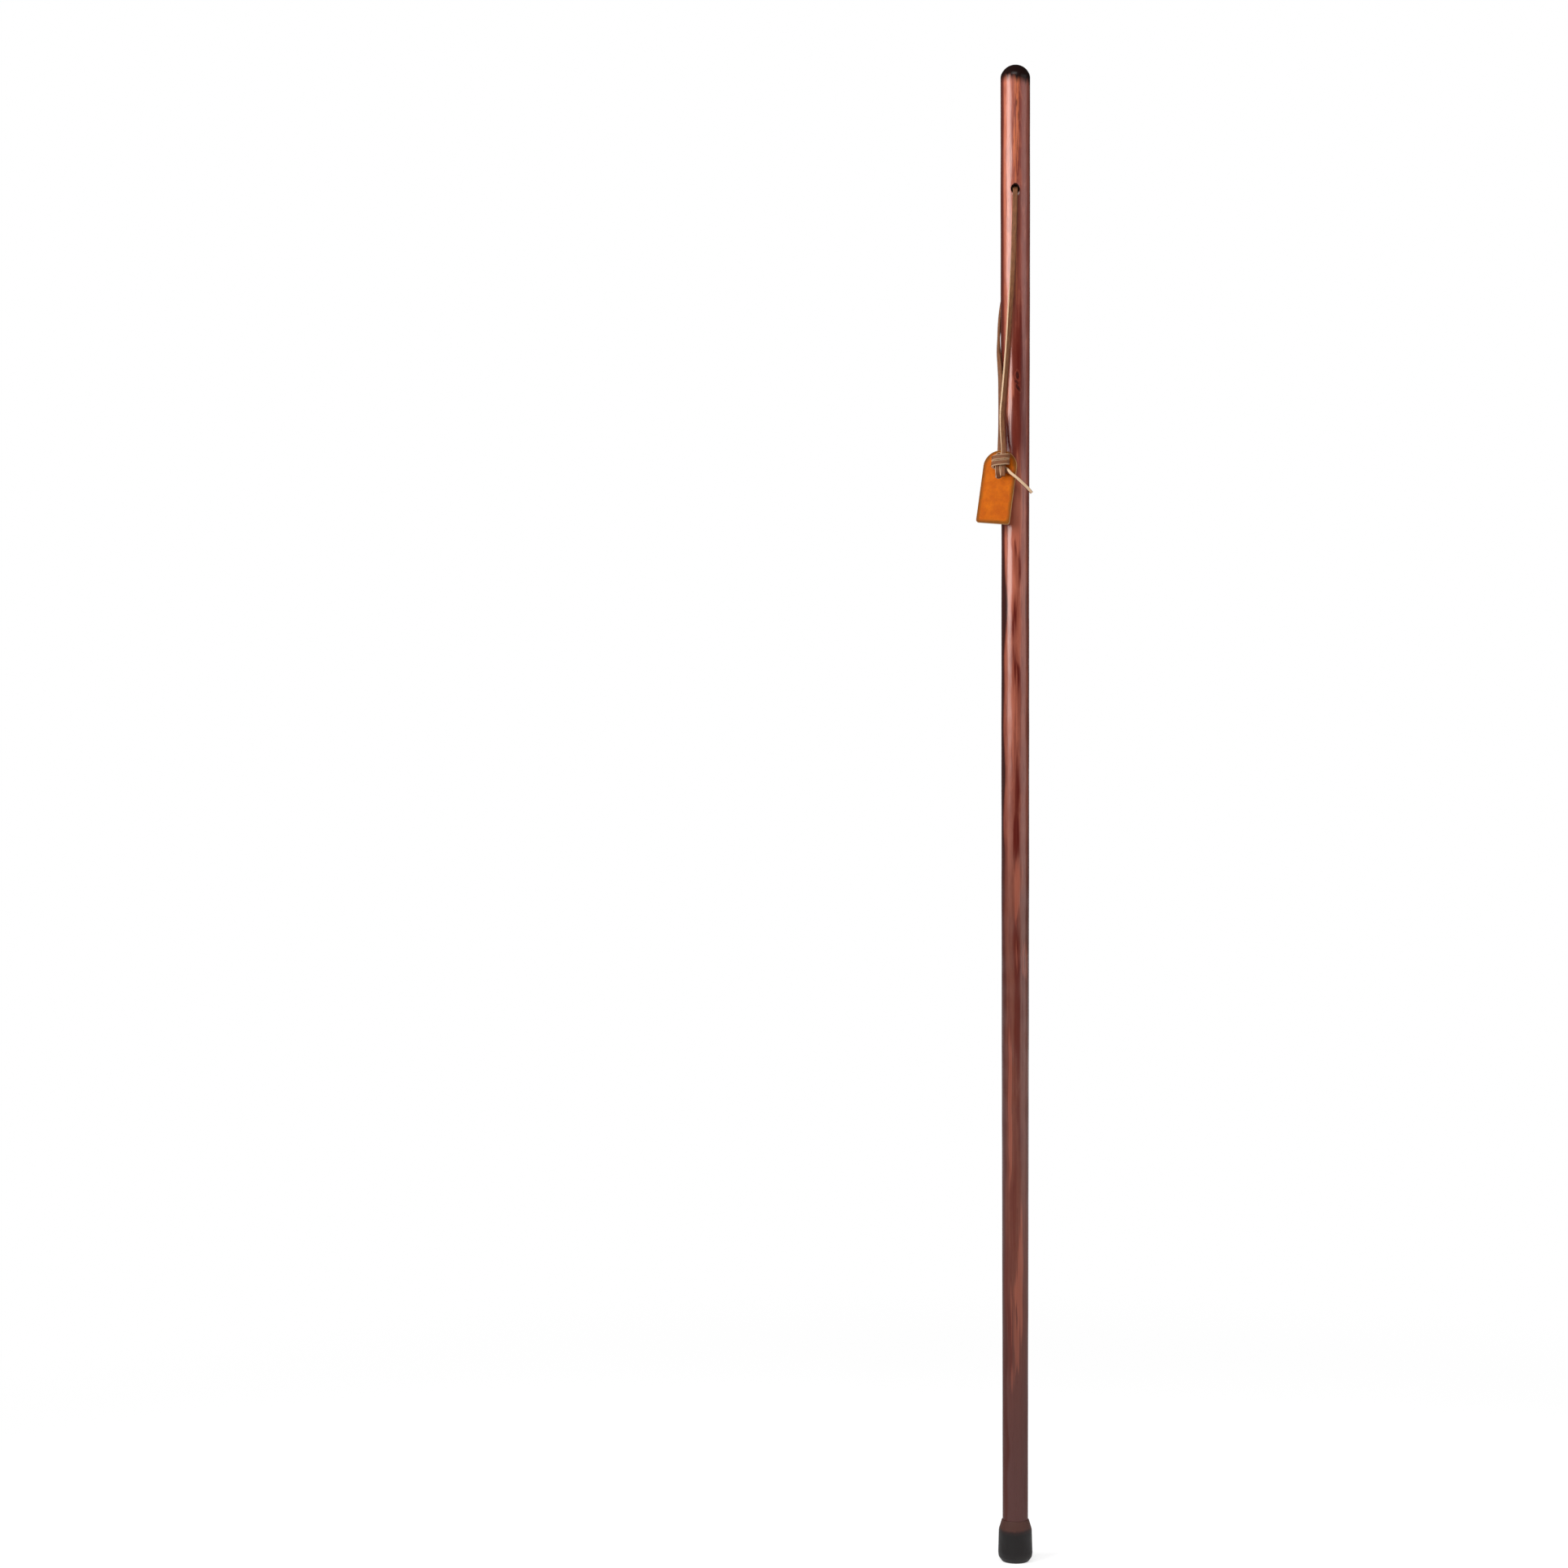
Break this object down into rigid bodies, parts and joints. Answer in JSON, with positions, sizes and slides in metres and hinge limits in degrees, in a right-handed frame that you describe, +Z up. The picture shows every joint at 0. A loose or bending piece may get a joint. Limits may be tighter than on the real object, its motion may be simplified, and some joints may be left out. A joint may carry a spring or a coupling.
{
  "type": "hiking staff",
  "caption": "Straight one-piece wooden hiking staff with a rounded dark crown, a leather lace lanyard knotted through a leather tag, and a push-on rubber foot.",
  "frame": {"origin": "centre of the ferrule's tread, on the floor", "axes": "+Z up along the shaft, -Y towards the front where the lanyard hangs, +X to the right seen from the front"},
  "size_m": [0.0529, 0.0454, 1.397],
  "materials": {
    "varnished_wood": "gloss varnish over a red-brown stain, dark at the crown",
    "black_rubber": "matt moulded",
    "washer_steel": "plain zinc",
    "lace_leather": "brown grain with pale cut edges",
    "tag_leather": "oiled tan with a pale cut rim"
  },
  "bodies": {
    "staff": {"shaft": "varnished_wood"},
    "tip": {"ferrule": "black_rubber", "ferrule_washer": "washer_steel"},
    "lanyard": {"lanyard_short_tail": "lace_leather", "lanyard_front_run": "lace_leather", "lanyard_bore_run": "lace_leather", "lanyard_back_run": "lace_leather", "lanyard_knot": "lace_leather", "lanyard_long_tail": "lace_leather"},
    "tag": {"tag": "tag_leather"}
  },
  "joints": [
    {"name": "tip_pull", "type": "slide", "parent": "staff", "child": "tip", "axis": [0, 0, -1], "range_m": [0, 0.045]},
    {"name": "lanyard_swing", "type": "hinge", "parent": "staff", "child": "lanyard", "pos_m": [0, 0, 1.279], "axis": [0, 1, 0], "range_deg": [0, 150]},
    {"name": "tag_swing", "type": "hinge", "parent": "lanyard", "child": "tag", "pos_m": [-0.0151, -0.01573, 1.012], "axis": [0.2047, 0.9633, -0.1736], "range_deg": [0, 55]}
  ]
}
